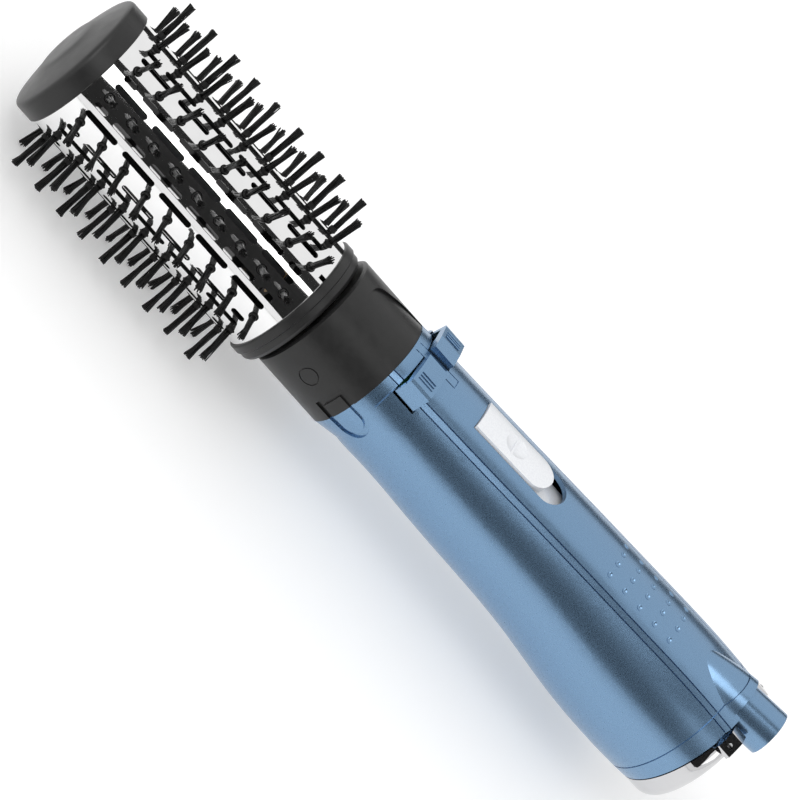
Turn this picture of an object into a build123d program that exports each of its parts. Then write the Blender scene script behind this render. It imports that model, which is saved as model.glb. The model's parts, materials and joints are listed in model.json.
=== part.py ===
"""Rotating hot air brush, in millimetres.

+X runs along the brush towards its tip, +Z points to the switch side, and the part is
mirrored about the XZ plane apart from the angle at which the barrel rests.
The origin lies on the barrel's axis, half way along the whole tool.
"""
from build123d import *
import math
import os

# ---------------------------------------------------------------- main stations along X
SEAM_X = 16.9                       # seam between the black neck and the handle
CAP_APEX_X = SEAM_X + 150.0
CAP_SHOULDER_X = SEAM_X + 144.5
CAP_REAR_X = SEAM_X + 138.3
RING_FRONT_X = SEAM_X + 37.6
RING_LIP_X = SEAM_X + 33.8
RING_REAR_X = SEAM_X + 30.0
NECK_FRONT_X = SEAM_X + 29.0
REAR_SEAM_X = SEAM_X - 160.2        # seam of the rear cap, on the handle's centre line
BAND_FRONT_X = SEAM_X - 167.2       # front edge of the hanging ring, on the centre line
SEAT_END_X = SEAM_X - 173.2         # rear face of the rear cap
BAND_REAR_X = SEAM_X - 176.2
STUB_END_X = SEAM_X - 182.8

# ---------------------------------------------------------------- barrel and bristles
BARREL_R = 24.9
BARREL_WALL = 0.8
CAP_R = 25.6
RING_R = 25.2
RING_LIP_R = 25.8
ROW_COUNT = 12
ROW_ANGLE = 360.0 / ROW_COUNT
FIRST_ROW_ANGLE = 22.5              # from +Z towards +Y, at rest
TUFTS_PER_ROW = 9
FIRST_TUFT_X = SEAM_X + 130.9
TUFT_PITCH = 10.84
TUFT_TIP_RADIUS = 39.5
TUFT_BASE_RADIUS = 26.2
TUFT_ROOT_R = 1.15
TUFT_TIP_R = 1.5
BOSS_R = 1.7
SLOT_WIDTH = 2.2
LONG_SLOT = 15.0
SHORT_SLOT = 5.75
SLOT_GAP = 3.3
SLOT_FRONT_X = SEAM_X + 132.7
SLOT_HALF_ANGLE = 4.7               # each slot row from the middle between two bristle rows
CORE_WALL = 1.6
CORE_GAP = 0.1

# ---------------------------------------------------------------- drive and spindle
GEAR_MODULE = 0.7
RING_GEAR_TEETH = 52
PINION_TEETH = 12
RING_PITCH_R = GEAR_MODULE * RING_GEAR_TEETH / 2
PINION_PITCH_R = GEAR_MODULE * PINION_TEETH / 2
PINION_Z = RING_PITCH_R - PINION_PITCH_R
GEAR_RIM_R = 21.5
PINION_SHAFT_R = 1.5
SPINDLE_R = 4.0
SPINDLE_BORE_R = 3.0
RUNNING_FIT = 0.05
HUB_BOSS_R = 8.0
BUSH_R = 5.5

# ---------------------------------------------------------------- neck and handle
NECK_R = 24.0
NECK_CENTRE_Z = 3.2
WALL = 1.8
HANDLE_SECTIONS = [                 # distance behind the seam, height of centre, radius
    (9.0, 4.7, 23.3),
    (19.0, 5.0, 23.45),
    (50.0, 5.4, 24.25),
    (96.0, 6.0, 25.7),
    (110.0, 5.5, 26.6),
    (125.0, 5.0, 27.6),
    (139.0, 5.0, 28.1),
    (152.0, 5.2, 28.1),
    (164.0, 5.5, 27.6),
    (178.0, 5.6, 27.1),
]
PANEL_HALF_WIDTH = 15.1             # the top panel's parting line
GROOVE_HALF_WIDTH = 13.0            # the second line beside it
GROOVE_WIDTH = 0.5
GROOVE_DEPTH = 0.5
TAB_FRONT = 5.0                     # side tab, from the seam forward
TAB_REAR = 9.4                      # and from the seam back
TAB_DEPTH = 0.8
SEAM_DEPTH = 0.6
REAR_SEAM_TILT = 3.8                # degrees, top further back
BAND_TILT = 6.5
SEAM_LINE = 0.45                    # open line between handle and rear cap

# ---------------------------------------------------------------- rotation button
BUTTON_FRONT_X = SEAM_X - 5.0
BUTTON_LENGTH = 9.3
BUTTON_HALF_WIDTH = 17.3
BUTTON_PIVOT_Z = 24.1
BUTTON_PIN_R = 0.9
BRIDGE_HALF_WIDTH = 1.7             # strip of the top panel that crosses the button
BEZEL_REAR_X = SEAM_X - 16.3
SPINE_HALF_WIDTH = 1.9
SPINE_FRONT_X = SEAM_X - 1.2
SPINE_REAR_X = SEAM_X - 19.7

# ---------------------------------------------------------------- power slide switch
SLOT_SWITCH_FRONT_X = SEAM_X - 33.0
SLOT_SWITCH_REAR_X = SEAM_X - 73.6
SWITCH_SLOT_HALF_WIDTH = 7.2
KNOB_LENGTH = 33.0
KNOB_HALF_WIDTH = 6.8
KNOB_RISE = 1.0
KNOB_FLANGE_R = 20.7
KNOB_FLANGE_CENTRE_Z = 5.2

# ---------------------------------------------------------------- grip dots
DOT_FRONT_X = SEAM_X - 101.8
DOT_PITCH_X = 7.64
DOT_ANGLE = 12.0
DOT_COLUMNS = 5
DOT_ROWS = 4
DOT_R = 1.6
DOT_SINK = 1.1                      # height of each dimple sphere's centre over the skin

# ---------------------------------------------------------------- air side
FAN_Z = 2.5
SHROUD_R = 20.3
SHROUD_WALL = 1.0
FAN_R = 18.8
FAN_HUB_R = 6.5
MOTOR_R = 11.5
FAN_SHAFT_R = 1.0
HEATER_Z = -2.0
HEATER_SLEEVE_R = 13.9
HEATER_CARD_HALF = 12.1
COIL_R = 12.55
COIL_WIRE_R = 0.35
GRILLE_R = 16.6
GRILLE_Z = 1.5
GRILLE_PITCH = 2.6
GRILLE_GAP = 1.5
REAR_SCREW_Y = 19.8
REAR_SCREW_Z = 6.0

# ---------------------------------------------------------------- cord outlet and ring
STUB_R = 8.8
STUB_BORE_R = 5.6
STUB_TILT = 7.0
STUB_END_Z = 30.1
CORD_R = 3.5
BAND_R = 27.5
BAND_WALL = 2.0
BAND_CENTRE_Z = 5.5
SEAT_R = 22.6
SEAT_CENTRE_Z = 4.6
RING_PIVOT_X = SEAM_X - 173.2
RING_PIVOT_Z = 27.0
RING_PIN_R = 1.2
LUG_INNER_Y = 10.0
LUG_SIZE = 5.4
LUG_SWEEP_R = 4.4

Y_AXIS = (0, 1, 0)


# ================================================================ helpers
def rod(x0, x1, radius, y=0.0, z=0.0):
    """Solid cylinder along X between two stations."""
    place = Plane(origin=(x0, y, z), x_dir=(0, 1, 0), z_dir=(1, 0, 0))
    return place * Cylinder(radius, x1 - x0, align=(Align.CENTER, Align.CENTER, Align.MIN))


def tube(x0, x1, outer_r, inner_r, y=0.0, z=0.0):
    """Hollow cylinder along X."""
    return rod(x0, x1, outer_r, y, z) - rod(x0 - 1, x1 + 1, inner_r, y, z)


def cross_rod(y0, y1, radius, x, z):
    """Solid cylinder along Y between two side positions."""
    place = Plane(origin=(x, y0, z), x_dir=(1, 0, 0), z_dir=(0, 1, 0))
    return place * Cylinder(radius, y1 - y0, align=(Align.CENTER, Align.CENTER, Align.MIN))


def block(x0, x1, y0, y1, z0, z1):
    """Box between two corners."""
    centre = ((x0 + x1) / 2, (y0 + y1) / 2, (z0 + z1) / 2)
    return Pos(*centre) * Box(abs(x1 - x0), abs(y1 - y0), abs(z1 - z0))


def turned(profile, centre_z=0.0):
    """Ring or disc turned about an X axis from (x, radius) corners."""
    outline = Polyline([(x, 0, r) for x, r in profile], close=True)
    return Pos(0, 0, centre_z) * revolve(make_face(outline), Axis.X, 360)


def around(shape, angle, centre_z=0.0):
    """Turn a shape made at +Z by an angle towards +Y about an X axis."""
    return Pos(0, 0, centre_z) * (Rot(-angle, 0, 0) * (Pos(0, 0, -centre_z) * shape))


def mirrored(shape):
    """The same shape on the other side of the XZ plane."""
    return mirror(shape, Plane.XZ)


def tilted_cut(x, tilt, keep_front):
    """Big block that starts at a plane across the handle, leaning back by tilt."""
    depth = 60.0
    start = 0.0 if keep_front else -depth
    slab = block(start, start + depth, -50, 50, -50, 50)
    return Pos(x, 0, BAND_CENTRE_Z) * (Rot(0, -tilt, 0) * slab)


def handle_body(inset=0.0):
    """Solid of the handle's outer skin, moved in by inset, from the shoulder to the rear."""
    sections = []
    for back, centre_z, radius in HANDLE_SECTIONS:
        place = Plane(origin=(SEAM_X - back, 0, centre_z), x_dir=(0, 1, 0), z_dir=(1, 0, 0))
        sections.append(place * Circle(radius - inset).face())
    return loft(sections)


def shoulder_body(inset=0.0):
    """Cone from the neck's size down to the front of the handle body."""
    back, centre_z, radius = HANDLE_SECTIONS[0]
    front = Plane(origin=(SEAM_X, 0, NECK_CENTRE_Z), x_dir=(0, 1, 0), z_dir=(1, 0, 0))
    rear = Plane(origin=(SEAM_X - back, 0, centre_z), x_dir=(0, 1, 0), z_dir=(1, 0, 0))
    faces = [front * Circle(NECK_R - inset).face(), rear * Circle(radius - inset).face()]
    return loft(faces, ruled=True)


def gear_outline(teeth, tip_r, root_r, tip_share, root_share):
    """Closed polygon of a spur gear; the shares are parts of a pitch taken by a tooth."""
    points = []
    pitch = 2 * math.pi / teeth
    for tooth in range(teeth):
        middle = tooth * pitch
        for share, radius in ((-root_share, root_r), (-tip_share, tip_r),
                              (tip_share, tip_r), (root_share, root_r)):
            angle = middle + share * pitch / 2
            points.append((radius * math.cos(angle), radius * math.sin(angle)))
    return make_face(Polyline(points, close=True))


# ================================================================ rotating head
def end_cap():
    spigot_r = BARREL_R - BARREL_WALL - 0.1
    dome = Plane.XZ * Spline([(CAP_SHOULDER_X, CAP_R), (CAP_SHOULDER_X + 2.2, CAP_R - 2.4),
                              (CAP_APEX_X - 1.0, CAP_R * 0.5), (CAP_APEX_X, 0)],
                             tangents=[(1, 0), (0, -1)])
    inner_x = CAP_REAR_X + 1.8
    sides = Plane.XZ * Polyline([(CAP_APEX_X, 0), (inner_x + 3, 0), (inner_x, spigot_r - 1.6),
                                 (CAP_REAR_X - 4, spigot_r - 1.6), (CAP_REAR_X - 4, spigot_r),
                                 (CAP_REAR_X, spigot_r), (CAP_REAR_X, CAP_R - 0.4),
                                 (CAP_REAR_X + 0.4, CAP_R), (CAP_SHOULDER_X, CAP_R)])
    return revolve(make_face([dome, sides]), Axis.X, 360)


def slot_row(lengths, angle):
    """Cutters of one row of slots, front to back."""
    cutters = []
    x = SLOT_FRONT_X
    for length in lengths:
        middle = x - length / 2
        place = Plane(origin=(middle, 0, BARREL_R - 4), x_dir=(1, 0, 0), z_dir=(0, 0, 1))
        cutter = place * extrude(SlotOverall(length, SLOT_WIDTH), 8)
        cutters.append(around(cutter, angle))
        x -= length + SLOT_GAP
    return cutters


def barrel_slots():
    short_row = [SHORT_SLOT] + [LONG_SLOT] * 4 + [SHORT_SLOT]
    long_row = [LONG_SLOT] * 5
    cutters = []
    for index in range(ROW_COUNT):
        middle = FIRST_ROW_ANGLE - ROW_ANGLE / 2 + index * ROW_ANGLE
        cutters += slot_row(short_row, middle - SLOT_HALF_ANGLE)
        cutters += slot_row(long_row, middle + SLOT_HALF_ANGLE)
    return cutters


def radial_cone(x, angle, r0, r1, root_r, tip_r):
    """Cone that stands out of the barrel's axis."""
    place = Plane(origin=(x, 0, r0), x_dir=(1, 0, 0), z_dir=(0, 0, 1))
    align = (Align.CENTER, Align.CENTER, Align.MIN)
    if root_r == tip_r:
        cone = place * Cylinder(root_r, r1 - r0, align=align)
    else:
        cone = place * Cone(root_r, tip_r, r1 - r0, align=align)
    return around(cone, angle)


def tuft_places():
    """Every tuft as (row, station, angle)."""
    for row in range(ROW_COUNT):
        for tuft in range(TUFTS_PER_ROW):
            yield row, FIRST_TUFT_X - tuft * TUFT_PITCH, FIRST_ROW_ANGLE + row * ROW_ANGLE


def barrel_tube():
    skin = tube(RING_LIP_X - 0.8, CAP_REAR_X, BARREL_R, BARREL_R - BARREL_WALL)
    holes = []
    for _, x, angle in tuft_places():
        holes.append(radial_cone(x, angle, BARREL_R - 3, BARREL_R + 3, BOSS_R + 0.1, BOSS_R + 0.1))
    notch = block(RING_FRONT_X - 1, RING_FRONT_X + 2.2, -0.9, 0.9, BARREL_R - 3, BARREL_R + 3)
    return skin - barrel_slots() - holes - around(notch, FIRST_ROW_ANGLE - 1)


def bristle_core():
    outer_r = BARREL_R - BARREL_WALL - CORE_GAP
    inner_r = outer_r - CORE_WALL
    front_x = CAP_REAR_X - 4.3
    rear_x = RING_FRONT_X + 2.5
    core = tube(rear_x, front_x, outer_r, inner_r)
    window = block(SLOT_FRONT_X - 88.5, SLOT_FRONT_X + 0.5, -3.6, 3.6, 16, 30)
    windows = [around(window, FIRST_ROW_ANGLE - ROW_ANGLE / 2 + i * ROW_ANGLE) for i in range(ROW_COUNT)]
    core = core - windows
    wheel_x = front_x - 4
    spokes = tube(wheel_x, wheel_x + 3, HUB_BOSS_R, BUSH_R)
    for index in range(6):
        spoke = block(wheel_x, wheel_x + 3, -1.5, 1.5, HUB_BOSS_R - 0.5, inner_r + 0.5)
        spokes = spokes + around(spoke, index * 60)
    bosses = []
    for _, x, angle in tuft_places():
        bosses.append(radial_cone(x, angle, inner_r + 0.4, TUFT_BASE_RADIUS, BOSS_R, BOSS_R - 0.35))
    return core + spokes + bosses


def bristle_row(row):
    tufts = []
    for place_row, x, angle in tuft_places():
        if place_row == row:
            tufts.append(radial_cone(x, angle, TUFT_BASE_RADIUS, TUFT_TIP_RADIUS, TUFT_ROOT_R, TUFT_TIP_R))
    return Compound(children=tufts)


def base_ring():
    seat_x = RING_LIP_X - 0.8
    profile = [(RING_REAR_X, GEAR_RIM_R), (RING_REAR_X, RING_R - 1.8), (RING_REAR_X + 0.5, RING_R - 0.7),
               (RING_REAR_X + 1.6, RING_R), (RING_LIP_X, RING_R), (RING_LIP_X + 0.5, RING_LIP_R),
               (RING_FRONT_X - 0.5, RING_LIP_R), (RING_FRONT_X, RING_LIP_R - 0.4),
               (RING_FRONT_X, BARREL_R), (seat_x, BARREL_R), (seat_x, GEAR_RIM_R)]
    return turned(profile)


def drive_hub():
    gear_x0 = RING_REAR_X + 0.5
    gear_x1 = RING_REAR_X + 6.5
    root_r = RING_PITCH_R + 1.25 * GEAR_MODULE
    tip_r = RING_PITCH_R - GEAR_MODULE
    teeth = gear_outline(RING_GEAR_TEETH, root_r, tip_r, 0.34, 0.74)
    place = Plane(origin=(gear_x0 - 1, 0, 0), x_dir=(0, 0, 1), z_dir=(1, 0, 0))
    gear = rod(gear_x0, gear_x1, GEAR_RIM_R) - place * extrude(teeth, 8)
    web_x0 = gear_x1
    web_x1 = gear_x1 + 2
    web = tube(web_x0, web_x1, GEAR_RIM_R, 17.0)
    for index in range(5):
        spoke = block(web_x0, web_x1, -1.8, 1.8, HUB_BOSS_R - 0.5, 17.5)
        web = web + around(spoke, index * 72)
    boss = tube(web_x0 - 1.5, web_x1 + 5, HUB_BOSS_R, BUSH_R)
    return gear + web + boss


def hub_bush():
    return tube(RING_REAR_X + 5.0, RING_REAR_X + 13.5, BUSH_R, SPINDLE_R + RUNNING_FIT)


def tip_bush():
    wheel_x = CAP_REAR_X - 8.3
    return tube(wheel_x, wheel_x + 3, BUSH_R, SPINDLE_R + RUNNING_FIT)


# ================================================================ neck and drive
def neck_front_wall_x():
    return NECK_FRONT_X - 5.0


def side_tab_groove(front_x, rear_x):
    """Channel round the tab on the +Y side, open at neither end."""
    half = 6.2
    inner_half = 4.1
    outer = extrude(Plane(origin=(0, 18, 0), x_dir=(1, 0, 0), z_dir=(0, 1, 0))
                    * tab_face(front_x + 2.1, rear_x - 2.1, half), 12)
    inner = extrude(Plane(origin=(0, 18, 0), x_dir=(1, 0, 0), z_dir=(0, 1, 0))
                    * tab_face(front_x, rear_x, inner_half), 12)
    return outer - inner


def tab_face(front_x, rear_x, half):
    """Oblong with a square front end and a round rear end, in plane coordinates."""
    centre = -NECK_CENTRE_Z
    bar = Pos((front_x + rear_x + half) / 2, centre) * Rectangle(front_x - rear_x - half, 2 * half)
    return bar + Pos(rear_x + half, centre) * Circle(half)


def tab_channel(core):
    """The channel round the tab on both sides, no deeper than the core that it leaves."""
    channel = side_tab_groove(SEAM_X + TAB_FRONT, SEAM_X - TAB_REAR)
    return channel + mirrored(channel) - core


def tongue_cutter():
    """Shallow tongue-shaped recess on the switch side of the neck."""
    apex_x = SEAM_X + 23.0
    side = Spline([(SEAM_X - 1, 14.6), (SEAM_X + 6, 13.4), (SEAM_X + 17.0, 8.6), (apex_x, 0)],
                  tangents=[(1, -0.1), (0, -1)])
    other = mirror(side, Plane.XZ)
    close = Line((SEAM_X - 1, -14.6), (SEAM_X - 1, 14.6))
    plan = make_face([side, other, close])
    column = extrude(plan, 40)
    front = Plane(origin=(apex_x + 1, 0, NECK_CENTRE_Z), x_dir=(0, 1, 0), z_dir=(1, 0, 0))
    rear = Plane(origin=(SEAM_X - 2, 0, NECK_CENTRE_Z), x_dir=(0, 1, 0), z_dir=(1, 0, 0))
    floor = loft([front * Circle(NECK_R - 1.2).face(), rear * Circle(NECK_R - 0.2).face()], ruled=True)
    return column - floor


def neck_collar():
    neck = tube(SEAM_X, NECK_FRONT_X, NECK_R, NECK_R - WALL, 0, NECK_CENTRE_Z)
    lip = rod(NECK_FRONT_X - 1.5, NECK_FRONT_X, NECK_R - WALL, 0, NECK_CENTRE_Z)
    lip = lip - rod(NECK_FRONT_X - 2, NECK_FRONT_X + 1, 17.2)
    neck = neck + lip
    rounding = turned([(NECK_FRONT_X - 1.2, NECK_R + 1), (NECK_FRONT_X + 1, NECK_R + 1),
                       (NECK_FRONT_X + 1, NECK_R - 1.2 - 1), (NECK_FRONT_X, NECK_R - 1.2)], NECK_CENTRE_Z)
    mark_place = Plane(origin=(SEAM_X + 16.4, 0, NECK_CENTRE_Z), x_dir=(1, 0, 0), z_dir=(0, 1, 0))
    mark = mark_place * (Cylinder(3.6, 80) - Cylinder(3.2, 80))
    mark = mark - rod(SEAM_X, NECK_FRONT_X, NECK_R - 0.35, 0, NECK_CENTRE_Z)
    tab_core = rod(SEAM_X - 1, SEAM_X + 12, NECK_R - TAB_DEPTH, 0, NECK_CENTRE_Z)
    return neck - rounding - mark - tab_channel(tab_core) - tongue_cutter()


def front_bulkhead():
    wall_x = neck_front_wall_x()
    disc = rod(wall_x, wall_x + 3, NECK_R - WALL - 0.1, 0, NECK_CENTRE_Z)
    boss = rod(wall_x - 8, wall_x + 3, 6.5)
    disc = disc + boss - rod(wall_x - 9, wall_x + 4, SPINDLE_R)
    windows = []
    for index in range(6):
        window = block(wall_x - 1, wall_x + 4, -4.2, 4.2, 8.5, 16.5)
        if index != 0:
            windows.append(around(window, index * 60))
    shaft_hole = rod(wall_x - 1, wall_x + 4, PINION_SHAFT_R + 0.4, 0, PINION_Z)
    return disc - windows - shaft_hole - screw_holes(wall_x - 1, wall_x + 4)


def screw_holes(x0, x1, radius=0.8):
    """The two gearmotor screws' places, above and below the pinion's shaft."""
    return [rod(x0, x1, radius, side * 4.0, PINION_Z) for side in (-1, 1)]


def gearmotor_screws():
    wall_x = neck_front_wall_x()
    screws = []
    for side in (-1, 1):
        shank = rod(wall_x - 4, wall_x + 3, 0.8, side * 4.0, PINION_Z)
        head = rod(wall_x + 3, wall_x + 4.0, 1.5, side * 4.0, PINION_Z)
        slot = block(wall_x + 3.5, wall_x + 5, side * 4 - 0.2, side * 4 + 0.2, PINION_Z - 2, PINION_Z + 2)
        screws.append(shank + head - slot)
    return Compound(children=screws)


def spindle():
    return tube(neck_front_wall_x() - 8, CAP_REAR_X - 4.6, SPINDLE_R, SPINDLE_BORE_R)


def thrust_washer():
    return tube(CAP_REAR_X - 4.6, CAP_REAR_X - 3.8, 6.5, 2.1)


def spindle_screw():
    head_x = CAP_REAR_X - 3.8
    screw = rod(head_x, head_x + 2, 3.6) + rod(head_x - 10, head_x, 2.05)
    plug = rod(head_x - 12, head_x - 0.8, SPINDLE_BORE_R)
    recess_place = Plane(origin=(head_x + 1, 0, 0), x_dir=(0, 1, 0), z_dir=(1, 0, 0))
    return screw + plug - recess_place * extrude(RegularPolygon(1.5, 6), 3)


def drive_pinion():
    gear_x0 = RING_REAR_X + 1.5
    root_r = PINION_PITCH_R - 1.25 * GEAR_MODULE
    tip_r = PINION_PITCH_R + GEAR_MODULE
    outline = gear_outline(PINION_TEETH, tip_r, root_r, 0.2, 0.6)
    # one tooth points straight up, into the ring gear's space at the top
    place = Plane(origin=(gear_x0, 0, PINION_Z), x_dir=(0, 0, 1), z_dir=(1, 0, 0))
    gear = place * extrude(outline, 4)
    return gear - rod(gear_x0 - 1, gear_x0 + 5, PINION_SHAFT_R, 0, PINION_Z)


def pinion_shaft():
    return rod(neck_front_wall_x() - 9, RING_REAR_X + 5.5, PINION_SHAFT_R, 0, PINION_Z)


def gearmotor():
    face_x = neck_front_wall_x()
    gearbox = block(face_x - 10, face_x, -6, 6, PINION_Z - 5, PINION_Z + 5)
    can = rod(face_x - 25, face_x - 10, 6, 0, PINION_Z)
    can = can & block(face_x - 25, face_x - 10, -6, 6, PINION_Z - 5, PINION_Z + 5)
    tail = rod(face_x - 26.5, face_x - 25, 2, 0, PINION_Z)
    bore = rod(face_x - 9.5, face_x + 1, PINION_SHAFT_R + RUNNING_FIT, 0, PINION_Z)
    return gearbox + can + tail - bore - screw_holes(face_x - 4, face_x + 1)


# ================================================================ handle shells
def handle_skin():
    """Hollow handle from the neck seam to the rear seam, before it is parted."""
    solid = handle_body() + shoulder_body()
    hollow = handle_body(WALL) + shoulder_body(WALL)
    flare = stub_flare()
    skin = (solid + flare) - hollow - flare_bore()
    return skin - tilted_cut(REAR_SEAM_X, REAR_SEAM_TILT, False)


def stub_plane(x):
    """Plane across the cord stub's axis at a station; its normal points to the rear."""
    tilt = math.radians(STUB_TILT)
    z = STUB_END_Z - (x - STUB_END_X) * math.tan(tilt)
    return Plane(origin=(x, 0, z), x_dir=Y_AXIS, z_dir=(-math.cos(tilt), 0, math.sin(tilt)))


def stub_flare(inset=0.0):
    """Swelling of the top panel that runs into the cord stub."""
    front = stub_plane(SEAM_X - 137) * Circle(4.6 - inset).face()
    middle = stub_plane(SEAM_X - 150) * Circle(8.2 - inset).face()
    rear = stub_plane(SEAM_X - 167.5) * Circle(10.6 - inset).face()
    return loft([front, middle, rear])


def flare_bore():
    plane = stub_plane(SEAM_X - 143)
    return plane * Cylinder(STUB_BORE_R, 40, align=(Align.CENTER, Align.CENTER, Align.MIN))


def side_grooves():
    """Fine lines that bound the top panel, no deeper than the groove depth."""
    slabs = []
    for half_width in (GROOVE_HALF_WIDTH, PANEL_HALF_WIDTH):
        for side in (-1, 1):
            middle = side * half_width
            slabs.append(block(SEAM_X - 180, SEAM_X + 1, middle - GROOVE_WIDTH / 2,
                               middle + GROOVE_WIDTH / 2, 10, 40))
    lines = slabs[0] + slabs[1:]
    return lines - handle_body(GROOVE_DEPTH) - shoulder_body(GROOVE_DEPTH)


def button_opening(margin=0.4):
    """Windows for the button's wings, either side of the strip that crosses it."""
    half = BUTTON_HALF_WIDTH + margin + 0.5
    window = block(BUTTON_FRONT_X - BUTTON_LENGTH - margin, BUTTON_FRONT_X + margin, -half, half, 15.5, 40)
    bridge = block(SPINE_REAR_X, SPINE_FRONT_X, -BRIDGE_HALF_WIDTH, BRIDGE_HALF_WIDTH, 10, 45)
    return window - bridge


def switch_slot(margin=0.0):
    """Column of the switch slot: square front end, round rear end."""
    half = SWITCH_SLOT_HALF_WIDTH + margin
    return slot_column(SLOT_SWITCH_FRONT_X + margin, SLOT_SWITCH_REAR_X - margin, half)


def slot_column(front_x, rear_x, half):
    bar = Pos((front_x + rear_x + half) / 2, 0) * Rectangle(front_x - rear_x - half, 2 * half)
    plan = bar + Pos(rear_x + half, 0) * Circle(half)
    return extrude(Pos(0, 0, 18) * plan, 22)


def spine_lines():
    """Fine lines beside the strip that runs through the rotation button."""
    strips = []
    for side in (-1, 1):
        middle = side * SPINE_HALF_WIDTH
        strips.append(block(SPINE_REAR_X, SPINE_FRONT_X, middle - 0.2, middle + 0.2, 20, 40))
    strips.append(block(SPINE_REAR_X, SPINE_REAR_X + 0.4, -SPINE_HALF_WIDTH, SPINE_HALF_WIDTH, 20, 40))
    lines = strips[0] + strips[1:]
    return lines - handle_body(0.4) - shoulder_body(0.4)


def skin_point(x):
    """Centre height and radius of the handle at a station, between its sections."""
    back = SEAM_X - x
    for first, second in zip(HANDLE_SECTIONS, HANDLE_SECTIONS[1:]):
        if first[0] <= back <= second[0]:
            share = (back - first[0]) / (second[0] - first[0])
            centre_z = first[1] + share * (second[1] - first[1])
            return centre_z, first[2] + share * (second[2] - first[2])
    return HANDLE_SECTIONS[0][1:]


def grip_dots():
    dots = []
    for column in range(DOT_COLUMNS):
        x = DOT_FRONT_X - column * DOT_PITCH_X
        centre_z, radius = skin_point(x)
        for row in range(DOT_ROWS):
            dot = Pos(x, 0, centre_z + radius + DOT_SINK) * Sphere(DOT_R)
            dots.append(around(dot, (row - (DOT_ROWS - 1) / 2) * DOT_ANGLE, centre_z))
    return dots


def panel_region():
    return block(SEAM_X - 185, SEAM_X + 1, -PANEL_HALF_WIDTH, PANEL_HALF_WIDTH, 10, 45)


def handle_shells():
    """Top panel and lower shell, as two solids."""
    tab_core = handle_body(TAB_DEPTH) + shoulder_body(TAB_DEPTH)
    skin = handle_skin() - side_grooves() - tab_channel(tab_core) - button_opening()
    top = (skin & panel_region()) - switch_slot() - spine_lines() - grip_dots()
    lower = skin - panel_region()
    ear_rear_x = BUTTON_FRONT_X - BUTTON_LENGTH - 0.4
    ears = [block(BUTTON_FRONT_X + 0.4, BUTTON_FRONT_X + 2.4, -2.5, 2.5, BUTTON_PIVOT_Z - 1.9, 27.3),
            block(ear_rear_x - 2, ear_rear_x, -2.5, 2.5, BUTTON_PIVOT_Z - 1.9, 27.3)]
    top = top + ears
    pin_hole = rod(BUTTON_FRONT_X - BUTTON_LENGTH - 2.4, BUTTON_FRONT_X + 2.4, BUTTON_PIN_R, 0, BUTTON_PIVOT_Z)
    return top - pin_hole, lower


# ================================================================ rotation button
def rotation_button():
    inner_y = BRIDGE_HALF_WIDTH + 0.75
    half = [(0, 25.6), (inner_y, 25.6), (inner_y, 30.8), (9.0, 30.5),
            (15.4, 29.3), (16.5, 28.6), (BUTTON_HALF_WIDTH, 21.3), (BUTTON_HALF_WIDTH - 1.5, 21.3),
            (15.0, 26.6), (9.0, 27.0), (5.0, 25.6), (2.2, BUTTON_PIVOT_Z - 1.4), (0, BUTTON_PIVOT_Z - 1.9)]
    outline = half + [(-y, z) for y, z in reversed(half[1:-1])]
    face = make_face(Polyline([(0, y, z) for y, z in outline], close=True))
    saddle = Pos(BUTTON_FRONT_X, 0, 0) * extrude(face, BUTTON_LENGTH, dir=(-1, 0, 0))
    saddle = saddle - rod(BUTTON_FRONT_X - BUTTON_LENGTH - 1, BUTTON_FRONT_X + 1,
                          BUTTON_PIN_R + RUNNING_FIT, 0, BUTTON_PIVOT_Z)
    ridges = []
    for side in (-1, 1):
        for index in range(3):
            y = side * (10.6 + 1.3 * index)
            ridges.append(block(BUTTON_FRONT_X - BUTTON_LENGTH + 1.4, BUTTON_FRONT_X - 1.4,
                                y - 0.22, y + 0.22, 28.5, 30.62 - 0.28 * index))
    return saddle + ridges


def button_pin():
    return rod(BUTTON_FRONT_X - BUTTON_LENGTH - 2.4, BUTTON_FRONT_X + 2.4, BUTTON_PIN_R, 0, BUTTON_PIVOT_Z)


def button_bezel():
    """Raised collar either side of the button, reaching down the handle's flanks."""
    centre_z = 4.8
    ring = tube(BEZEL_REAR_X, BUTTON_FRONT_X + 0.6, 24.3, 20.0, 0, centre_z)
    flank = block(BEZEL_REAR_X - 1, BUTTON_FRONT_X + 2, 16.9, 30, 12.0, 22.4)
    ends = Plane(origin=(0, 15, 0), x_dir=(1, 0, 0), z_dir=(0, 1, 0))
    middle_x = (BEZEL_REAR_X + BUTTON_FRONT_X + 0.6) / 2
    half_x = (BUTTON_FRONT_X + 0.6 - BEZEL_REAR_X) / 2
    shield = make_face(Polyline([(middle_x - half_x, -23), (middle_x - half_x + 0.6, -14.2),
                                 (middle_x - half_x + 2.6, -12.2), (middle_x + half_x - 2.6, -12.2),
                                 (middle_x + half_x - 0.6, -14.2), (middle_x + half_x, -23)], close=True))
    flank = flank & extrude(ends * shield, 20)
    sides = (ring & flank) - handle_body() - shoulder_body() - button_opening()
    return Compound(children=[sides, mirrored(sides)])


def button_board():
    board = block(SEAM_X - 16, SEAM_X - 4, -13, 13, 19.6, 20.6)
    return board


def direction_switches():
    middle_x = BUTTON_FRONT_X - BUTTON_LENGTH / 2
    switches = []
    for side in (-1, 1):
        body = block(middle_x - 2.5, middle_x + 2.5, side * 10 - 2.5, side * 10 + 2.5, 20.6, 23.6)
        plunger = Pos(middle_x, side * 10, 23.6) * Cylinder(1.1, 0.9, align=(Align.CENTER, Align.CENTER, Align.MIN))
        switches.append(body + plunger)
    return Compound(children=switches)


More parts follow.
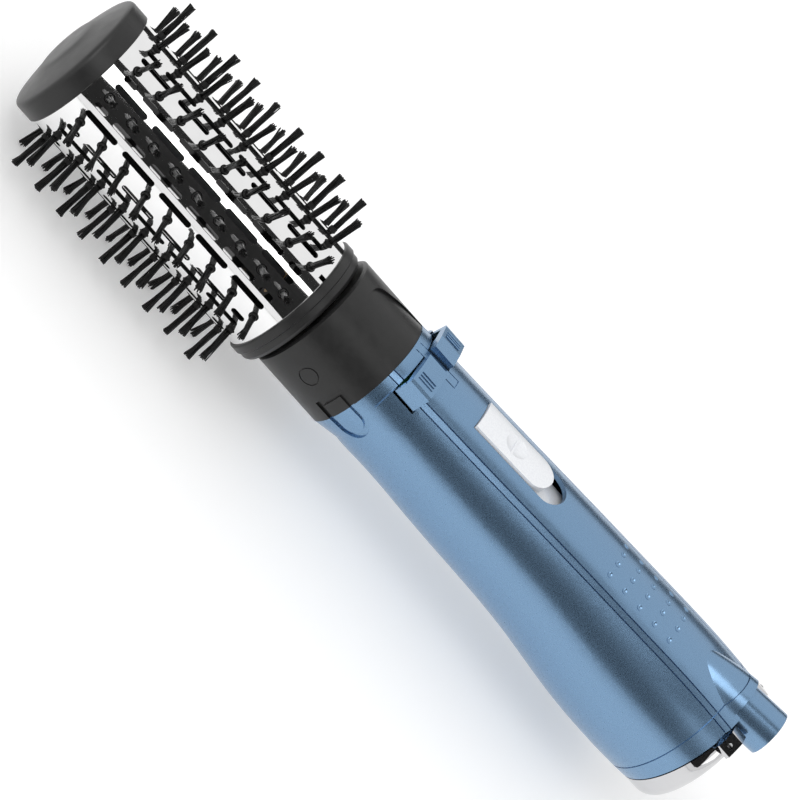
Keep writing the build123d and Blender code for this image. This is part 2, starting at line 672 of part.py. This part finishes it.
# ================================================================ power switch
def knob_column(inset=0.0):
    return slot_column(SLOT_SWITCH_FRONT_X - 0.3 - inset, SLOT_SWITCH_FRONT_X - 0.3 - KNOB_LENGTH + inset,
                       KNOB_HALF_WIDTH - inset)


def switch_knob():
    middle_x = SLOT_SWITCH_FRONT_X - 15.6
    knob = knob_column() & handle_body(-KNOB_RISE)
    centre_z, radius = skin_point(middle_x)
    dimple = Pos(middle_x, 0, centre_z + radius + KNOB_RISE + 7.6) * Sphere(9.0)
    thread = block(middle_x - 0.35, middle_x + 0.35, -3.6, 3.6, centre_z + radius - 2, centre_z + radius + 0.35)
    knob = knob - dimple + thread
    flange = tube(SLOT_SWITCH_REAR_X - 3, SLOT_SWITCH_FRONT_X + 2.0, KNOB_FLANGE_R, KNOB_FLANGE_R - 1.4,
                  0, KNOB_FLANGE_CENTRE_Z)
    flange = flange & block(SLOT_SWITCH_REAR_X - 4, SLOT_SWITCH_FRONT_X + 3, -8.2, 8.2, 20, 40)
    hollow = rod(SLOT_SWITCH_REAR_X - 9, SLOT_SWITCH_FRONT_X + 5, KNOB_FLANGE_R - 0.5, 0, KNOB_FLANGE_CENTRE_Z)
    finger = block(middle_x - 2, middle_x + 2, -1.5, 1.5, 21.4, 25.0)
    return (knob - hollow) + flange + finger


def power_switch():
    middle_x = SLOT_SWITCH_FRONT_X - 15.6
    body = block(middle_x - 20, middle_x + 13, -6, 6, 15.0, 23.0)
    channel = block(middle_x - 10.5, middle_x + 3.0, -2.0, 2.0, 20.8, 24)
    return body - channel


# ================================================================ electrics
def circuit_board():
    return block(SEAM_X - 108, SEAM_X - 30, -11, 11, 13.3, 14.9)


def board_parts():
    parts = []
    up = (Align.CENTER, Align.CENTER, Align.MIN)
    for back, side in ((84, -6.5), (84, 6.5), (94, 0)):
        parts.append(Pos(SEAM_X - back, side, 14.9) * Cylinder(3.2, 6.8, align=up))
    parts.append(block(SEAM_X - 106, SEAM_X - 100, -8, -2, 14.9, 18.4))
    parts.append(block(SEAM_X - 106, SEAM_X - 100, 2, 8, 14.9, 18.4))
    return Compound(children=parts)


def heater_sleeve():
    return tube(SEAM_X - 84, SEAM_X - 18, HEATER_SLEEVE_R, HEATER_SLEEVE_R - 0.5, 0, HEATER_Z)


def heater_frame():
    flat = block(SEAM_X - 82, SEAM_X - 20, -HEATER_CARD_HALF, HEATER_CARD_HALF, HEATER_Z - 0.4, HEATER_Z + 0.4)
    upright = block(SEAM_X - 82, SEAM_X - 20, -0.4, 0.4, HEATER_Z - HEATER_CARD_HALF, HEATER_Z + HEATER_CARD_HALF)
    return flat + upright


def heater_coil():
    turns = 9
    pitch = 6.0
    path = Helix(pitch, pitch * turns, COIL_R)
    section = Plane(origin=path @ 0, z_dir=path % 0) * Circle(COIL_WIRE_R)
    coil = sweep(section, path=path)
    return Pos(SEAM_X - 78, 0, HEATER_Z) * (Rot(0, 90, 0) * coil)


def thermostat():
    return block(SEAM_X - 32, SEAM_X - 22, 0.4, 8.4, HEATER_Z + 0.4, HEATER_Z + 4.0)


def thermal_fuse():
    return rod(SEAM_X - 44, SEAM_X - 34, 1.6, -4, HEATER_Z + 2.0)


# ================================================================ fan
def fan_shroud():
    front_x = SEAM_X - 112
    rear_x = SEAM_X - 156
    shroud = tube(rear_x, front_x, SHROUD_R, SHROUD_R - SHROUD_WALL, 0, FAN_Z)
    cradle = tube(front_x - 24, front_x - 4, MOTOR_R + 1.2, MOTOR_R, 0, FAN_Z)
    for index in range(7):
        vane = block(front_x - 22, front_x - 6, -0.6, 0.6, FAN_Z + MOTOR_R + 0.8, FAN_Z + SHROUD_R - 0.6)
        cradle = cradle + around(vane, index * 360 / 7, FAN_Z)
    return shroud + cradle


def fan_motor():
    front_x = SEAM_X - 114
    rear_x = front_x - 27
    can = rod(rear_x, front_x, MOTOR_R, 0, FAN_Z) + rod(rear_x - 2, rear_x, 3.5, 0, FAN_Z)
    return can - rod(rear_x - 3, rear_x + 9, FAN_SHAFT_R + RUNNING_FIT, 0, FAN_Z)


def fan_shaft():
    return rod(SEAM_X - 154.5, SEAM_X - 133, FAN_SHAFT_R, 0, FAN_Z)


def fan_impeller():
    front_x = SEAM_X - 144.5
    rear_x = SEAM_X - 154
    hub = rod(rear_x, front_x, FAN_HUB_R, 0, FAN_Z)
    blades = []
    for index in range(7):
        blade = Pos((front_x + rear_x) / 2, 0, FAN_Z + (FAN_HUB_R + FAN_R) / 2) * (
            Rot(0, 0, 38) * Box(9.5, 0.9, FAN_R - FAN_HUB_R + 1.0))
        blades.append(around(blade, index * 360 / 7, FAN_Z))
    wheel = hub + blades
    wheel = wheel & rod(rear_x, front_x, FAN_R, 0, FAN_Z)
    return wheel - rod(rear_x - 1, front_x + 1, FAN_SHAFT_R, 0, FAN_Z)


# ================================================================ rear end
def rear_cap():
    outer = (handle_body() + stub_flare()) & tilted_cut(REAR_SEAM_X, REAR_SEAM_TILT, False)
    outer = outer - tilted_cut(BAND_FRONT_X + 0.4, BAND_TILT, False)
    seam_line = tilted_cut(REAR_SEAM_X - SEAM_LINE, REAR_SEAM_TILT, True)
    outer = outer - (seam_line - handle_body(SEAM_DEPTH) - stub_flare(SEAM_DEPTH))
    seat = rod(SEAT_END_X, REAR_SEAM_X - 3, SEAT_R, 0, SEAT_CENTRE_Z)
    stub_solid = stub_plane(STUB_END_X) * Cylinder(STUB_R, 18, align=(Align.CENTER, Align.CENTER, Align.MAX))
    grooves = side_grooves()
    body = (outer - grooves) + seat + stub_solid
    hollow = handle_body(WALL) - tilted_cut(BAND_FRONT_X + 2.6, BAND_TILT, False)
    hollow = hollow + rod(SEAT_END_X + 2.0, REAR_SEAM_X + 3, SEAT_R - 1.8, 0, SEAT_CENTRE_Z)
    hollow = hollow - (stub_plane(STUB_END_X) * Cylinder(STUB_R - 0.8, 16, align=(Align.CENTER, Align.CENTER, Align.MAX)))
    body = body - (hollow & block(SEAM_X - 178, SEAM_X - 150, -40, 40, -40, 40))
    inlet = rod(SEAT_END_X - 1, SEAT_END_X + 3, GRILLE_R - 1.2, 0, GRILLE_Z)
    rebate = rod(SEAT_END_X + 0.8, SEAT_END_X + 3, GRILLE_R + 0.1, 0, GRILLE_Z)
    bore = stub_plane(STUB_END_X) * Cylinder(STUB_BORE_R, 60, align=(Align.CENTER, Align.CENTER, Align.CENTER))
    counter = stub_plane(STUB_END_X) * Cylinder(7.6, 3.2, align=(Align.CENTER, Align.CENTER, Align.CENTER))
    notch = cross_rod(9.2, 30, LUG_SWEEP_R, RING_PIVOT_X, RING_PIVOT_Z)
    pins = cross_rod(-16.6, 16.6, RING_PIN_R, RING_PIVOT_X, RING_PIVOT_Z)
    body = body - inlet - rebate - bore - counter - notch - mirrored(notch) - pins
    return body - screw_set(SEAT_END_X - 1, SEAT_END_X + 7, 1.1) - screw_set(SEAT_END_X - 1, SEAT_END_X + 0.7, 1.9)


def screw_set(x0, x1, radius):
    """The two small screws beside the air inlet."""
    return [rod(x0, x1, radius, side * REAR_SCREW_Y, REAR_SCREW_Z) for side in (-1, 1)]


def rear_screws():
    screws = []
    for side in (-1, 1):
        y = side * REAR_SCREW_Y
        shank = rod(SEAT_END_X + 0.7, SEAT_END_X + 6, 1.1, y, REAR_SCREW_Z)
        head = rod(SEAT_END_X, SEAT_END_X + 0.7, 1.9, y, REAR_SCREW_Z)
        cross = block(SEAT_END_X - 1, SEAT_END_X + 0.3, y - 1.3, y + 1.3, REAR_SCREW_Z - 0.25, REAR_SCREW_Z + 0.25)
        screws.append(shank + head - cross)
    return Compound(children=screws)


def rear_grille():
    disc = rod(SEAT_END_X + 0.8, SEAT_END_X + 2.0, GRILLE_R, 0, GRILLE_Z)
    bars = []
    for index in range(-5, 6):
        height = index * GRILLE_PITCH
        half = math.sqrt((GRILLE_R - 2.4) ** 2 - height ** 2)
        bars.append(block(SEAT_END_X, SEAT_END_X + 3, -half, half, GRILLE_Z + height - GRILLE_GAP / 2,
                          GRILLE_Z + height + GRILLE_GAP / 2))
    rib = block(SEAT_END_X + 0.8, SEAT_END_X + 2.0, -0.8, 0.8, GRILLE_Z - GRILLE_R + 1, GRILLE_Z + GRILLE_R - 1)
    return disc - bars + rib


def inlet_filter():
    return rod(SEAT_END_X + 2.1, SEAT_END_X + 2.9, GRILLE_R - 0.4, 0, GRILLE_Z)


def cord_bush():
    """Swivel bush that the mains lead would leave by; the lead itself is not part of this."""
    up = (Align.CENTER, Align.CENTER, Align.MAX)
    sleeve = stub_plane(STUB_END_X) * Cylinder(STUB_BORE_R - RUNNING_FIT, 17, align=up)
    lip = stub_plane(STUB_END_X) * Cylinder(7.3, 1.3, align=up)
    bore = stub_plane(STUB_END_X) * Cylinder(CORD_R, 50, align=(Align.CENTER, Align.CENTER, Align.CENTER))
    return sleeve + lip - bore


def band_profile(outer_r, rear_x, round_r):
    """Half section of the band's outer form, with its rear corner rounded off."""
    front_x = SEAM_X - 158
    start = (front_x, 5)
    bulge = round_r * (1 - math.sqrt(0.5))
    edge = Polyline([start, (front_x, outer_r), (rear_x + round_r, outer_r)])
    corner = ThreePointArc((rear_x + round_r, outer_r), (rear_x + bulge, outer_r - bulge),
                           (rear_x, outer_r - round_r))
    back = Polyline([(rear_x, outer_r - round_r), (rear_x, 5), start])
    return Plane.XZ * make_face([edge, corner, back])


def hanging_ring():
    outer = revolve(band_profile(BAND_R, BAND_REAR_X, 5.5), Axis.X, 360)
    inner = revolve(band_profile(BAND_R - BAND_WALL, BAND_REAR_X + BAND_WALL, 4.0), Axis.X, 360)
    mouth = rod(BAND_REAR_X - 5, BAND_REAR_X + 5, 21.8)
    band = Pos(0, 0, BAND_CENTRE_Z) * (outer - inner - mouth)
    band = band & tilted_cut(BAND_FRONT_X, BAND_TILT, False)
    band = band - block(SEAM_X - 190, SEAM_X - 150, -40, 40, RING_PIVOT_Z - LUG_SIZE / 2, 50)
    lug = block(RING_PIVOT_X - LUG_SIZE / 2, RING_PIVOT_X + LUG_SIZE / 2, LUG_INNER_Y, 19.0,
                RING_PIVOT_Z - LUG_SIZE / 2, RING_PIVOT_Z + LUG_SIZE / 2)
    lug = lug & rod(RING_PIVOT_X - 5, RING_PIVOT_X + 5, BAND_R + 0.3, 0, BAND_CENTRE_Z)
    ring = band + lug + mirrored(lug)
    return ring - cross_rod(-17.5, 17.5, RING_PIN_R + RUNNING_FIT, RING_PIVOT_X, RING_PIVOT_Z)


def ring_pins():
    pin = cross_rod(6.6, 16.6, RING_PIN_R, RING_PIVOT_X, RING_PIVOT_Z)
    return Compound(children=[pin, mirrored(pin)])


# ================================================================ write the parts
def build():
    top_panel, lower_shell = handle_shells()
    parts = {
        "end_cap": end_cap(), "barrel_tube": barrel_tube(), "bristle_core": bristle_core(),
        "base_ring": base_ring(), "drive_hub": drive_hub(), "hub_bush": hub_bush(),
        "tip_bush": tip_bush(), "neck_collar": neck_collar(), "front_bulkhead": front_bulkhead(),
        "gearmotor_screws": gearmotor_screws(), "spindle": spindle(), "thrust_washer": thrust_washer(),
        "spindle_screw": spindle_screw(), "drive_pinion": drive_pinion(), "pinion_shaft": pinion_shaft(),
        "gearmotor": gearmotor(), "handle_top_panel": top_panel, "handle_lower_shell": lower_shell,
        "rotation_button": rotation_button(), "button_pin": button_pin(), "button_bezel": button_bezel(),
        "button_board": button_board(), "direction_switches": direction_switches(),
        "switch_knob": switch_knob(), "power_switch": power_switch(), "circuit_board": circuit_board(),
        "board_parts": board_parts(), "heater_sleeve": heater_sleeve(), "heater_frame": heater_frame(),
        "heater_coil": heater_coil(), "thermostat": thermostat(), "thermal_fuse": thermal_fuse(),
        "fan_shroud": fan_shroud(), "fan_motor": fan_motor(), "fan_shaft": fan_shaft(),
        "fan_impeller": fan_impeller(), "rear_cap": rear_cap(), "rear_screws": rear_screws(),
        "rear_grille": rear_grille(), "inlet_filter": inlet_filter(), "cord_bush": cord_bush(),
        "hanging_ring": hanging_ring(), "ring_pins": ring_pins(),
    }
    for row in range(ROW_COUNT):
        parts[f"bristle_row_{row + 1:02d}"] = bristle_row(row)
    return parts


os.makedirs("parts", exist_ok=True)
for name, shape in build().items():
    export_step(shape, f"parts/{name}.step")
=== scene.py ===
"""Looks of the rotating hot air brush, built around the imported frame. Metres, frame axes."""
import json
import math
import random

import bpy
from mathutils import Matrix, Vector


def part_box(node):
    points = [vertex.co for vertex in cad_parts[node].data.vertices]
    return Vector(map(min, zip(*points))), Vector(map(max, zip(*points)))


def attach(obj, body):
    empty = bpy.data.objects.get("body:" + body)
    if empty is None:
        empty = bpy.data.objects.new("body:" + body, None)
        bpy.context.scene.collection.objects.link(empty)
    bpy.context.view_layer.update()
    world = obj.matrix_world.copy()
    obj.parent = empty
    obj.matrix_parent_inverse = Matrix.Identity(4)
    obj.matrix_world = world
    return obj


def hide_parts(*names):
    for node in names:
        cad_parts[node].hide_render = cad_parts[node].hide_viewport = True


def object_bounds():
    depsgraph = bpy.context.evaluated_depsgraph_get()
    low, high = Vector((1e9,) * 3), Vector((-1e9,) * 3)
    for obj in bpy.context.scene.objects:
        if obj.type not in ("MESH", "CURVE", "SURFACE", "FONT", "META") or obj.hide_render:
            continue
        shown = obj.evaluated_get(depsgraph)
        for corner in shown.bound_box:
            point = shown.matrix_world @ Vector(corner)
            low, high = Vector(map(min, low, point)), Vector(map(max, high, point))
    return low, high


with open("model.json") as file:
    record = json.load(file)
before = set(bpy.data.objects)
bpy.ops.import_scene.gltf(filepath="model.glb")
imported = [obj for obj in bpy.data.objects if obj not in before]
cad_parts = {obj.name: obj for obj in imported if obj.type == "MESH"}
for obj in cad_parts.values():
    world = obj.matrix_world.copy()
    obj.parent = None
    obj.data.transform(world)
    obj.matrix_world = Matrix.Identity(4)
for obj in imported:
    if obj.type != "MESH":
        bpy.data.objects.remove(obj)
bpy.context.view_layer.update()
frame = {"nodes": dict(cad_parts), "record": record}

# ---------------------------------------------------------------- camera
CAMERA_AZIMUTH = 161.9
CAMERA_ELEVATION = 38.8
CAMERA_ROLL = 60.0
CAMERA_DISTANCE = 1.9005
CAMERA_LENS = 255.3
SENSOR = 36.0
AIM_RIGHT = 0.00214
AIM_UP = 0.00416
CLIP_START = 0.05
CLIP_END = 20

# ---------------------------------------------------------------- studio
FLOOR_HALF_SIZE = 6.0
FLOOR_GAP = 0.0003                  # below the lowest point of the object
# The floor's glow is painted light that lifts the object's shadow on it.
FLOOR_GLOW = 0.18
SKY_STRENGTH = 0.95
# name: (azimuth, elevation, distance, width, height, power)
LIGHTS = {"key": (150, 62, 1.6, 1.4, 0.9, 9), "fill": (235, 30, 1.6, 1.0, 1.0, 3)}
# name: (azimuth, elevation, distance, width, height)
CARDS = {"stripe_card": (200, 45, 2.9, 2.3, 4.5), "far_card": (350, 8, 3.2, 4.2, 1.0)}

# ---------------------------------------------------------------- barrel and bristles
ROW_COUNT = 12
TUFTS_PER_ROW = 9
BARREL_R = 0.0249
# Deeper than this the barrel tube is painted near-black: painted shade inside the vent slots.
POLISH_DEPTH = 0.00005              # the mirror finish ends this far below the barrel's surface
POLISH_BLEND = 0.00003
FIRST_ROW_ANGLE = math.radians(22.5)
TUFT_TIP_R = 0.0394
TUFT_FOOT_R = 0.0255
CONE_TIP_R = 0.0015                 # the plain cones' tip radius, which sets the rows' boxes
FILAMENTS = 34
FILAMENT_R = 0.00026
FILAMENT_SIDES = 6
FILAMENT_STEPS = 5
TUFT_FOOT_SPREAD = 0.0011
TUFT_SPREAD = 0.0015
TUFT_BEND = 0.0004
TIP_UNEVEN = 0.0006


# ================================================================ materials
def srgb(red, green, blue):
    """Linear colour of an 8-bit display colour."""
    def linear(value):
        value /= 255
        if value <= 0.04045:
            return value / 12.92
        return ((value + 0.055) / 1.055) ** 2.4
    return (linear(red), linear(green), linear(blue), 1)


def noise_node(nodes, links, coordinates, scale, detail=3.0):
    noise = nodes.new("ShaderNodeTexNoise")
    noise.inputs["Scale"].default_value = scale
    noise.inputs["Detail"].default_value = detail
    links.new(coordinates.outputs["Object"], noise.inputs["Vector"])
    return noise


def spread_node(nodes, links, source, low, high):
    """Maps a noise's middle range to low..high."""
    spread = nodes.new("ShaderNodeMapRange")
    spread.inputs["From Min"].default_value = 0.3
    spread.inputs["From Max"].default_value = 0.7
    spread.inputs["To Min"].default_value = low
    spread.inputs["To Max"].default_value = high
    links.new(source.outputs["Fac"], spread.inputs["Value"])
    return spread


def material(name, colour, shade, scale, rough, metallic=0.0, bump=0.0, bump_scale=900.0, **settings):
    """Procedural finish: colour drifts to shade, roughness between the two of rough, fine bumps."""
    made = bpy.data.materials.new(name)
    made.use_nodes = True
    nodes, links = made.node_tree.nodes, made.node_tree.links
    shader = nodes["Principled BSDF"]
    coordinates = nodes.new("ShaderNodeTexCoord")
    noise = noise_node(nodes, links, coordinates, scale)
    ramp = nodes.new("ShaderNodeValToRGB")
    ramp.color_ramp.elements[0].position = 0.35
    ramp.color_ramp.elements[0].color = shade
    ramp.color_ramp.elements[1].position = 0.65
    ramp.color_ramp.elements[1].color = colour
    links.new(noise.outputs["Fac"], ramp.inputs["Fac"])
    links.new(ramp.outputs["Color"], shader.inputs["Base Color"])
    roughness = spread_node(nodes, links, noise_node(nodes, links, coordinates, scale * 0.5), *rough)
    links.new(roughness.outputs["Result"], shader.inputs["Roughness"])
    shader.inputs["Metallic"].default_value = metallic
    for socket, value in settings.items():
        shader.inputs[socket.replace("_", " ")].default_value = value
    if bump:
        grain = noise_node(nodes, links, coordinates, bump_scale, 2.0)
        relief = nodes.new("ShaderNodeBump")
        relief.inputs["Strength"].default_value = bump
        relief.inputs["Distance"].default_value = 0.0002
        links.new(grain.outputs["Fac"], relief.inputs["Height"])
        links.new(relief.outputs["Normal"], shader.inputs["Normal"])
    return made


LOOKS = {
    "blue_shell": material("blue_lacquer", srgb(122, 154, 185), srgb(118, 150, 182), 2600, (0.25, 0.28),
                           metallic=0.88, Coat_Weight=0.1, Coat_Roughness=0.12),
    "black_shell": material("satin_black", srgb(30, 30, 30), srgb(27, 27, 27), 400, (0.34, 0.40),
                            bump=0.04, bump_scale=3000, Specular_IOR_Level=0.42),
    "barrel_chrome": material("barrel_mirror", (0.86, 0.86, 0.86, 1), (0.83, 0.83, 0.83, 1), 120,
                              (0.035, 0.05), metallic=1.0),
    "ring_chrome": material("ring_mirror", (0.62, 0.62, 0.63, 1), (0.58, 0.58, 0.59, 1), 90,
                            (0.03, 0.05), metallic=1.0),
    "nylon_black": material("bristle_nylon", srgb(12, 12, 12), srgb(8, 8, 8), 500, (0.35, 0.45),
                            Specular_IOR_Level=0.22),
    "core_black": material("core_nylon", srgb(16, 16, 16), srgb(12, 12, 12), 300, (0.5, 0.6),
                           Specular_IOR_Level=0.25),
    "switch_silver": material("pearl_silver", srgb(236, 238, 241), srgb(228, 230, 234), 1800,
                              (0.28, 0.34), metallic=0.15, Coat_Weight=0.3, Coat_Roughness=0.15),
    "switch_black": material("switch_moulding", srgb(30, 30, 30), srgb(24, 24, 24), 300, (0.45, 0.55)),
    "steel": material("turned_steel", (0.60, 0.60, 0.60, 1), (0.52, 0.52, 0.52, 1), 700, (0.2, 0.3),
                      metallic=1.0),
    "bronze": material("sintered_bronze", (0.55, 0.36, 0.16, 1), (0.45, 0.29, 0.12, 1), 1200, (0.35, 0.5),
                       metallic=1.0),
    "acetal_white": material("acetal", srgb(232, 230, 222), srgb(222, 220, 212), 250, (0.3, 0.4)),
    "board_green": material("board_laminate", srgb(28, 92, 58), srgb(22, 78, 48), 500, (0.35, 0.45)),
    "mica": material("mica_sheet", srgb(214, 204, 172), srgb(190, 178, 142), 350, (0.4, 0.55)),
    "heater_wire": material("resistance_wire", (0.42, 0.39, 0.37, 1), (0.32, 0.30, 0.29, 1), 900, (0.3, 0.45),
                            metallic=1.0),
    "filter_mesh": material("filter_weave", srgb(30, 30, 30), srgb(18, 18, 18), 2500, (0.7, 0.9)),
    "cord_rubber": material("bush_rubber", srgb(24, 24, 24), srgb(18, 18, 18), 350, (0.55, 0.65)),
}


# Inner metal seen through the vent slots, painted dark grey: painted shade inside the barrel.
SHADE_PAINTED_NODES = ("heater_sleeve", "heater_frame", "heater_coil", "spindle", "spindle_screw", "thermostat")
INNER_SHADE_LOOK = material("inner_metal_painted_shade", srgb(56, 56, 58), srgb(46, 46, 48), 500, (0.6, 0.75),
                       Specular_IOR_Level=0.3)


def paint_inner_shade(look, radius, blend):
    """Paints near-black, non-metallic shade on a polished tube nearer to the X axis than radius: painted
    shade inside the vent slots.
    """
    nodes, links = look.node_tree.nodes, look.node_tree.links
    shader = nodes["Principled BSDF"]
    coordinates = nodes.new("ShaderNodeTexCoord")
    flatten = nodes.new("ShaderNodeVectorMath")
    flatten.operation = "MULTIPLY"
    flatten.inputs[1].default_value = (0, 1, 1)
    links.new(coordinates.outputs["Object"], flatten.inputs[0])
    reach = nodes.new("ShaderNodeVectorMath")
    reach.operation = "LENGTH"
    links.new(flatten.outputs["Vector"], reach.inputs[0])
    outside = nodes.new("ShaderNodeMapRange")
    outside.inputs["From Min"].default_value = radius - blend
    outside.inputs["From Max"].default_value = radius
    outside.inputs["To Min"].default_value = 0
    outside.inputs["To Max"].default_value = 1
    links.new(reach.outputs["Value"], outside.inputs["Value"])
    polish = shader.inputs["Base Color"].links[0].from_socket
    painted_shade_mix = nodes.new("ShaderNodeMix")
    painted_shade_mix.data_type = "RGBA"
    # near-black painted shade for the inside of the tube
    painted_shade_mix.inputs["A"].default_value = (0.02, 0.02, 0.02, 1)
    links.new(outside.outputs["Result"], painted_shade_mix.inputs["Factor"])
    links.new(polish, painted_shade_mix.inputs["B"])
    links.new(painted_shade_mix.outputs["Result"], shader.inputs["Base Color"])
    links.new(outside.outputs["Result"], shader.inputs["Metallic"])


def dress_frame():
    """Gives each CAD node the finish of its material slot; the inner parts seen through the vent slots get
    the painted-shade look instead.
    """
    slots = {part["node"]: part["material_slot"] for part in frame["record"]["subparts"]}
    for node, piece in frame["nodes"].items():
        piece.data.materials.clear()
        piece.data.materials.append(INNER_SHADE_LOOK if node in SHADE_PAINTED_NODES else LOOKS[slots[node]])


# ================================================================ bristles
def mesh_piece(name, points, faces, look):
    mesh = bpy.data.meshes.new(name)
    mesh.from_pydata(points, [], faces)
    mesh.materials.append(LOOKS[look])
    mesh.polygons.foreach_set("use_smooth", [True] * len(mesh.polygons))
    piece = bpy.data.objects.new(name, mesh)
    bpy.context.scene.collection.objects.link(piece)
    return piece


def add_filament(points, faces, path, radius):
    """A tapered round filament along a path of points."""
    start = len(points)
    along = (path[-1] - path[0]).normalized()
    side = along.orthogonal().normalized()
    other = along.cross(side)
    last = len(path) - 1
    for step, place in enumerate(path):
        size = radius * (1.0 - 0.25 * step / last)
        for corner in range(FILAMENT_SIDES):
            angle = 2 * math.pi * corner / FILAMENT_SIDES
            points.append(place + (side * math.cos(angle) + other * math.sin(angle)) * size)
    for step in range(last):
        for corner in range(FILAMENT_SIDES):
            nearby = (corner + 1) % FILAMENT_SIDES
            a = start + step * FILAMENT_SIDES
            b = a + FILAMENT_SIDES
            faces.append((a + corner, a + nearby, b + nearby, b + corner))
    faces.append(tuple(start + c for c in reversed(range(FILAMENT_SIDES))))
    faces.append(tuple(start + last * FILAMENT_SIDES + c for c in range(FILAMENT_SIDES)))


def disc_point(spot, reach):
    """Random (along, across) offset inside a circle, even over its area."""
    angle = spot.uniform(0, 2 * math.pi)
    distance = reach * math.sqrt(spot.random())
    return distance * math.cos(angle), distance * math.sin(angle)


def add_tuft(points, faces, spot, station, angle):
    """One bundle of filaments that fans out from its boss."""
    radial = Vector((0, math.sin(angle), math.cos(angle)))
    across = Vector((0, math.cos(angle), -math.sin(angle)))
    along = Vector((1, 0, 0))
    lean_along = spot.uniform(-TUFT_BEND, TUFT_BEND)
    lean_across = spot.uniform(-TUFT_BEND, TUFT_BEND)
    for _ in range(FILAMENTS):
        foot_x, foot_y = disc_point(spot, TUFT_FOOT_SPREAD)
        tip_x, tip_y = disc_point(spot, TUFT_SPREAD)
        tip_x += lean_along
        tip_y += lean_across
        height = TUFT_TIP_R - spot.uniform(0, TIP_UNEVEN)
        path = []
        for step in range(FILAMENT_STEPS):
            share = step / (FILAMENT_STEPS - 1)
            fan = share ** 1.4
            reach = TUFT_FOOT_R + (height - TUFT_FOOT_R) * share
            path.append(Vector((station, 0, 0)) + radial * reach
                        + along * (foot_x + (tip_x - foot_x) * fan)
                        + across * (foot_y + (tip_y - foot_y) * fan))
        add_filament(points, faces, path, FILAMENT_R)


def bristle_rows():
    """Filament bundles in place of the plain cones, turning with the brush head."""
    for row in range(ROW_COUNT):
        node = f"bristle_row_{row + 1:02d}"
        low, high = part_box(node)
        first = high.x - CONE_TIP_R
        pitch = (high.x - low.x - 2 * CONE_TIP_R) / (TUFTS_PER_ROW - 1)
        angle = FIRST_ROW_ANGLE + row * 2 * math.pi / ROW_COUNT
        spot = random.Random(100 + row)
        points, faces = [], []
        for tuft in range(TUFTS_PER_ROW):
            add_tuft(points, faces, spot, first - tuft * pitch, angle)
        piece = mesh_piece(f"filaments_{row + 1:02d}", points, faces, "nylon_black")
        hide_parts(node)
        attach(piece, "brush_head")


# ================================================================ stage
def look_at(place, target, roll=0.0):
    """World matrix of a camera or light at place that faces target."""
    back = (place - target).normalized()
    right = Vector((0, 0, 1)).cross(back).normalized()
    up = back.cross(right)
    turned_right = right * math.cos(roll) + up * math.sin(roll)
    turned_up = up * math.cos(roll) - right * math.sin(roll)
    matrix = Matrix((turned_right, turned_up, back)).transposed().to_4x4()
    matrix.translation = place
    return matrix


def direction(azimuth, elevation):
    """Unit vector from the object to a viewpoint; azimuth 0 is on the -Y side, 90 on +X."""
    a, e = math.radians(azimuth), math.radians(elevation)
    return Vector((math.sin(a) * math.cos(e), -math.cos(a) * math.cos(e), math.sin(e)))


def add_camera():
    data = bpy.data.cameras.new("camera")
    data.sensor_width = SENSOR
    data.lens = CAMERA_LENS
    data.clip_start = CLIP_START
    data.clip_end = CLIP_END
    camera = bpy.data.objects.new("camera", data)
    bpy.context.scene.collection.objects.link(camera)
    back = direction(CAMERA_AZIMUTH, CAMERA_ELEVATION)
    matrix = look_at(back, Vector((0, 0, 0)), math.radians(CAMERA_ROLL))
    right, up = matrix.col[0].xyz, matrix.col[1].xyz
    matrix.translation = back * CAMERA_DISTANCE + right * AIM_RIGHT + up * AIM_UP
    camera.matrix_world = matrix
    bpy.context.scene.camera = camera


def add_sheet(name, half_width, half_height, look, level=0):
    """Flat stage piece, parallel to its own XY plane at the given level."""
    corners = [(-half_width, -half_height, level), (half_width, -half_height, level),
               (half_width, half_height, level), (-half_width, half_height, level)]
    mesh = bpy.data.meshes.new(name)
    mesh.from_pydata(corners, [], [(0, 1, 2, 3)])
    mesh.materials.append(look)
    sheet = bpy.data.objects.new(name, mesh)
    bpy.context.scene.collection.objects.link(sheet)
    return sheet


def add_floor():
    low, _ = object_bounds()
    # the floor glows: painted light that fills in its shadow
    paint = material("glowing_floor_paint", (0.9, 0.9, 0.9, 1), (0.88, 0.88, 0.88, 1), 3, (0.75, 0.85),
                     Emission_Color=(1, 1, 1, 1), Emission_Strength=FLOOR_GLOW)
    add_sheet("floor", FLOOR_HALF_SIZE, FLOOR_HALF_SIZE, paint, low.z - FLOOR_GAP)


def facing_centre(azimuth, elevation, distance):
    """World matrix of a light or card that faces the origin."""
    return look_at(direction(azimuth, elevation) * distance, Vector((0, 0, 0)))


def add_light(name, azimuth, elevation, distance, width, height, power):
    data = bpy.data.lights.new(name, "AREA")
    data.shape = "RECTANGLE"
    data.size = width
    data.size_y = height
    data.energy = power
    light = bpy.data.objects.new(name, data)
    bpy.context.scene.collection.objects.link(light)
    light.matrix_world = facing_centre(azimuth, elevation, distance)


def add_card(name, azimuth, elevation, distance, width, height):
    """Dark studio card that faces the object; its width is level."""
    felt = material(name + "_felt", (0.012, 0.012, 0.012, 1), (0.008, 0.008, 0.008, 1), 20, (0.9, 1.0))
    card = add_sheet(name, width / 2, height / 2, felt)
    card.matrix_world = facing_centre(azimuth, elevation, distance)


def add_world():
    world = bpy.data.worlds.new("studio")
    world.use_nodes = True
    background = world.node_tree.nodes["Background"]
    background.inputs["Color"].default_value = (1, 1, 1, 1)
    background.inputs["Strength"].default_value = SKY_STRENGTH
    bpy.context.scene.world = world


# painted shade: the barrel tube turns near-black inside the vent slots
paint_inner_shade(LOOKS["barrel_chrome"], BARREL_R - POLISH_DEPTH, POLISH_BLEND)
dress_frame()
bristle_rows()
add_camera()
add_floor()
add_world()
for light_name, settings in LIGHTS.items():
    add_light(light_name, *settings)
for card_name, settings in CARDS.items():
    add_card(card_name, *settings)
bpy.context.scene.view_settings.view_transform = "Standard"
